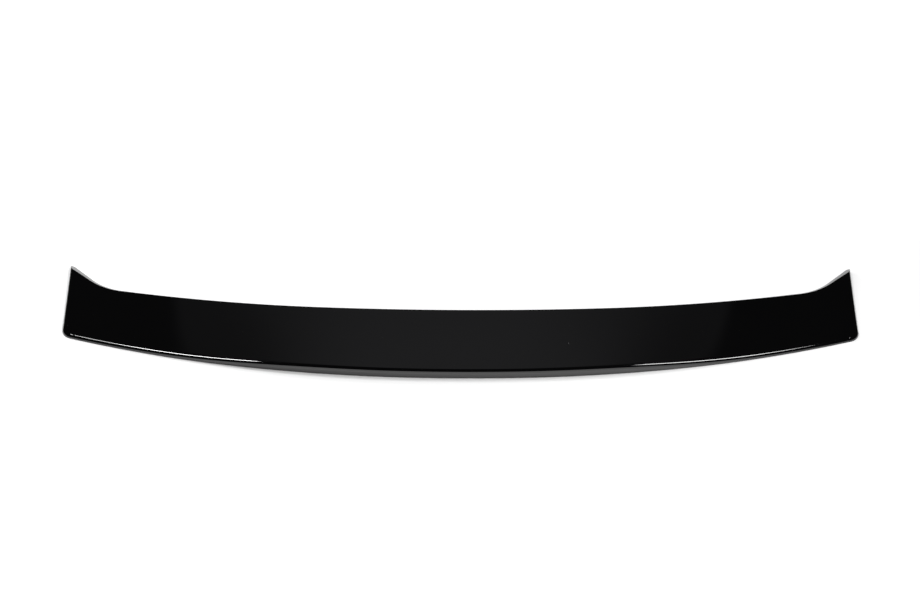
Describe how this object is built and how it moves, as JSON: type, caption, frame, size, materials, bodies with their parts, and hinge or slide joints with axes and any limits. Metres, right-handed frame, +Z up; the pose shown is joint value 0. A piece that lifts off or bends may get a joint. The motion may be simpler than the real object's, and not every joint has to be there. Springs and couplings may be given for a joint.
{
  "type": "rear roof-edge spoiler",
  "caption": "Bowed gloss-black spoiler blade with a rounded trailing lip that is tallest in the middle, a thin leading edge, raised ears at the front corners and a hollow underside with a bonding land.",
  "frame": {"origin": "midway along the length, midway between the trailing lip and the ear tips, on the plane the blade lies on", "axes": "+X along the blade, -Y towards the trailing lip, +Y towards the leading edge and ears, +Z up"},
  "size_m": [1.15, 0.2378, 0.0167],
  "materials": {
    "blade": "deep gloss black over smooth moulded plastic"
  },
  "bodies": {
    "root": {"spoiler_blade": "blade"}
  },
  "joints": []
}
